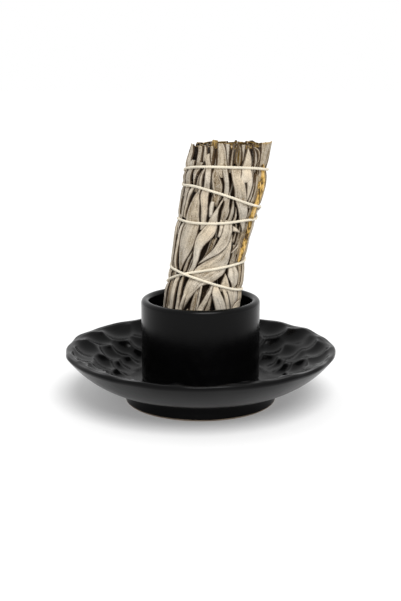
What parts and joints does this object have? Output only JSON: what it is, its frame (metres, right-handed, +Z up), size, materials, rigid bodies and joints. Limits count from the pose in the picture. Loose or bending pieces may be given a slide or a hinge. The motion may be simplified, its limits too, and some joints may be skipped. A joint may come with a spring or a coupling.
{
  "type": "incense burner",
  "caption": "Shallow hammered dish on a foot ring with a loose round holder cup in its middle, holding a leaning thread-bound bundle of dried sage leaves for burning.",
  "frame": {"origin": "centre of the dish's foot ring, on the surface it stands on", "axes": "+Z up along the dish's axis; the bundle leans towards +X; -Y is the front that the picture shows"},
  "size_m": [0.12, 0.12, 0.1162],
  "materials": {
    "black_glaze": "satin",
    "sage_leaf": "matte",
    "sage_stem": "matte",
    "cotton": "matte"
  },
  "bodies": {
    "dish": {"dish": "black_glaze"},
    "cup": {"holder_cup": "black_glaze"},
    "bundle": {"outer_twig": "sage_stem", "sprig_1_inner_leaf_1": "sage_leaf", "sprig_1_inner_leaf_2": "sage_leaf", "sprig_1_inner_leaf_3": "sage_leaf", "sprig_1_outer_leaf_1": "sage_leaf", "sprig_1_outer_leaf_2": "sage_leaf", "sprig_1_outer_leaf_3": "sage_leaf", "sprig_1_pressed_leaves": "sage_leaf", "sprig_1_stem": "sage_stem", "sprig_2_inner_leaf_1": "sage_leaf", "sprig_2_inner_leaf_2": "sage_leaf", "sprig_2_inner_leaf_3": "sage_leaf", "sprig_2_outer_leaf_1": "sage_leaf", "sprig_2_outer_leaf_2": "sage_leaf", "sprig_2_pressed_leaves": "sage_leaf", "sprig_2_stem": "sage_stem", "sprig_3_inner_leaf_1": "sage_leaf", "sprig_3_inner_leaf_2": "sage_leaf", "sprig_3_inner_leaf_3": "sage_leaf", "sprig_3_outer_leaf_1": "sage_leaf", "sprig_3_outer_leaf_2": "sage_leaf", "sprig_3_outer_leaf_3": "sage_leaf", "sprig_3_pressed_leaves": "sage_leaf", "sprig_3_stem": "sage_stem", "sprig_4_inner_leaf_1": "sage_leaf", "sprig_4_inner_leaf_2": "sage_leaf", "sprig_4_inner_leaf_3": "sage_leaf", "sprig_4_outer_leaf_1": "sage_leaf", "sprig_4_outer_leaf_2": "sage_leaf", "sprig_4_outer_leaf_3": "sage_leaf", "sprig_4_pressed_leaves": "sage_leaf", "sprig_4_stem": "sage_stem", "sprig_5_inner_leaf_1": "sage_leaf", "sprig_5_inner_leaf_2": "sage_leaf", "sprig_5_inner_leaf_3": "sage_leaf", "sprig_5_outer_leaf_1": "sage_leaf", "sprig_5_outer_leaf_2": "sage_leaf", "sprig_5_outer_leaf_3": "sage_leaf", "sprig_5_pressed_leaves": "sage_leaf", "sprig_5_stem": "sage_stem", "sprig_6_inner_leaf_1": "sage_leaf", "sprig_6_inner_leaf_2": "sage_leaf", "sprig_6_inner_leaf_3": "sage_leaf", "sprig_6_outer_leaf_1": "sage_leaf", "sprig_6_outer_leaf_2": "sage_leaf", "sprig_6_outer_leaf_3": "sage_leaf", "sprig_6_pressed_leaves": "sage_leaf", "sprig_6_stem": "sage_stem", "thread": "cotton", "thread_knot": "cotton"}
  },
  "joints": [
    {"name": "cup_lift", "type": "slide", "parent": "dish", "child": "cup", "axis": [0, 0, 1], "range_m": [0, 0.03]},
    {"name": "bundle_lift", "type": "slide", "parent": "cup", "child": "bundle", "axis": [0.1616, 0, 0.9869], "range_m": [0, 0.045]}
  ]
}
